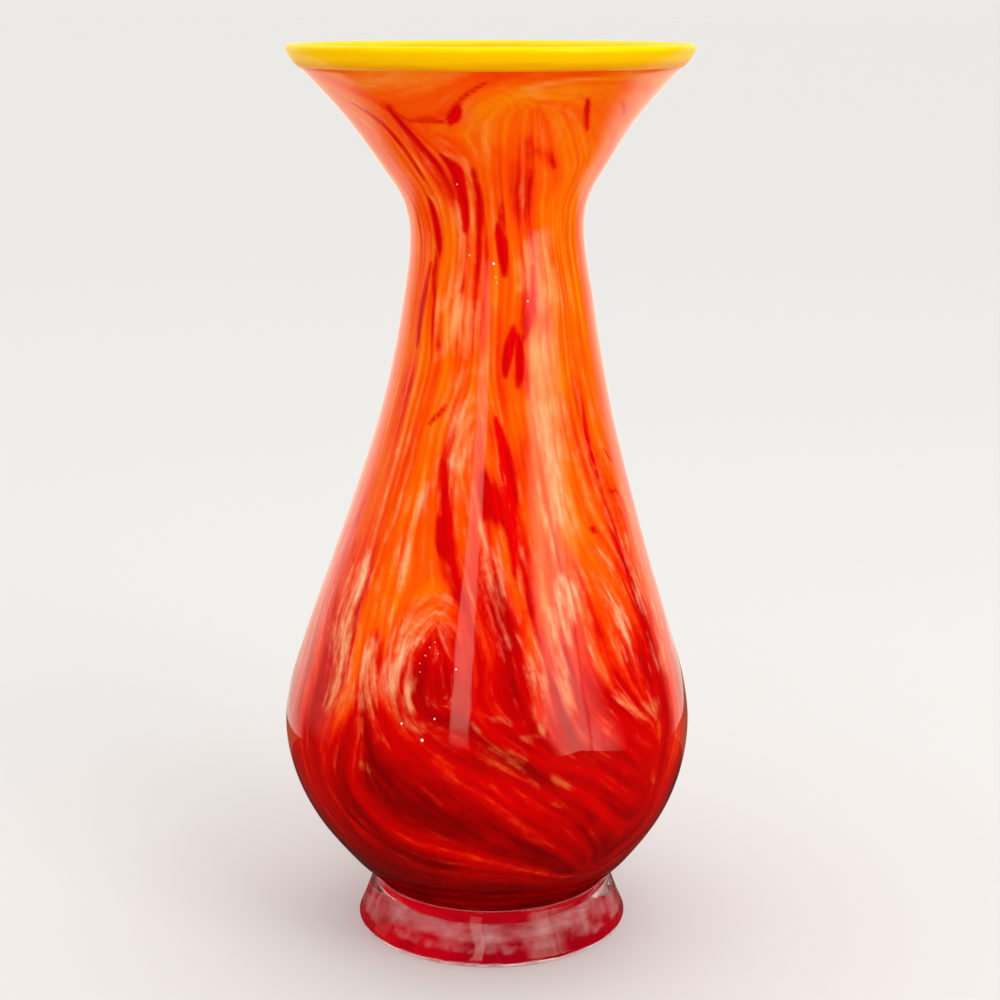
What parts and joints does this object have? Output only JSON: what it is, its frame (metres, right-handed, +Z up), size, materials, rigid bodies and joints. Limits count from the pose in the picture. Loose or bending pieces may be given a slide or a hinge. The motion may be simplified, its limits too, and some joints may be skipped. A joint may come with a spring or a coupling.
{
  "type": "vase",
  "caption": "Tall bottle-shaped art glass vase with a full belly, narrow neck and wide flared mouth, in marbled glass cased in clear, with a coloured lip wrap and a clear flared foot.",
  "frame": {"origin": "on the table, at the centre of the ring that the foot rests on", "axes": "+Z up along the vase, the displayed side faces -Y, +X to its right"},
  "size_m": [0.164, 0.164, 0.3563],
  "materials": {
    "clear_glass": "clear, fire-polished",
    "marbled_glass": "mostly opaque, orange shading to deep red downwards, with swirled chips and pale wisps",
    "yellow_glass": "opaque, fire-polished"
  },
  "bodies": {
    "root": {"outer_casing": "clear_glass", "colour_layer": "marbled_glass", "inner_gather": "clear_glass", "lip_wrap": "yellow_glass", "foot": "clear_glass"}
  },
  "joints": []
}
